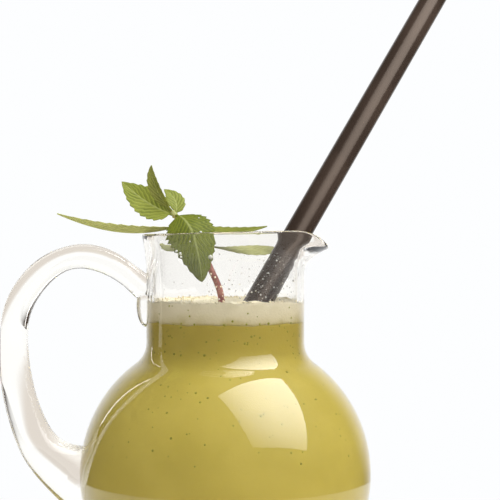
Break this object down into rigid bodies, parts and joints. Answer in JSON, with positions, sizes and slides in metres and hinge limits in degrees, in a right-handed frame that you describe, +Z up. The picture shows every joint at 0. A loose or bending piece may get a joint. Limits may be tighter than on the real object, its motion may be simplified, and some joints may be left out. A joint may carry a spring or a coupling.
{
  "type": "mint lemonade",
  "caption": "Clear glass ball jug with a solid drawn handle and pulled spout, full of cloudy lemonade under foam, with a dark straw and a sprig of mint.",
  "frame": {"origin": "centre of the jug's flat base, on the axis of its neck", "axes": "+Z up along the jug's axis, +X towards the spout, -X towards the handle, +Y away from the front"},
  "size_m": [0.1637, 0.1105, 0.2205],
  "materials": {
    "clear_glass": "clear, fire-polished",
    "cloudy_lemonade": "cloudy yellow-green liquid",
    "white_foam": "fine wet foam",
    "dark_straw": "glossy dark brown plastic",
    "mint_green": "soft green leaves on a brown-red stem"
  },
  "bodies": {
    "root": {"glass_jug": "clear_glass", "lemonade": "cloudy_lemonade", "foam": "white_foam", "straw": "dark_straw", "mint_sprig": "mint_green"}
  },
  "joints": []
}
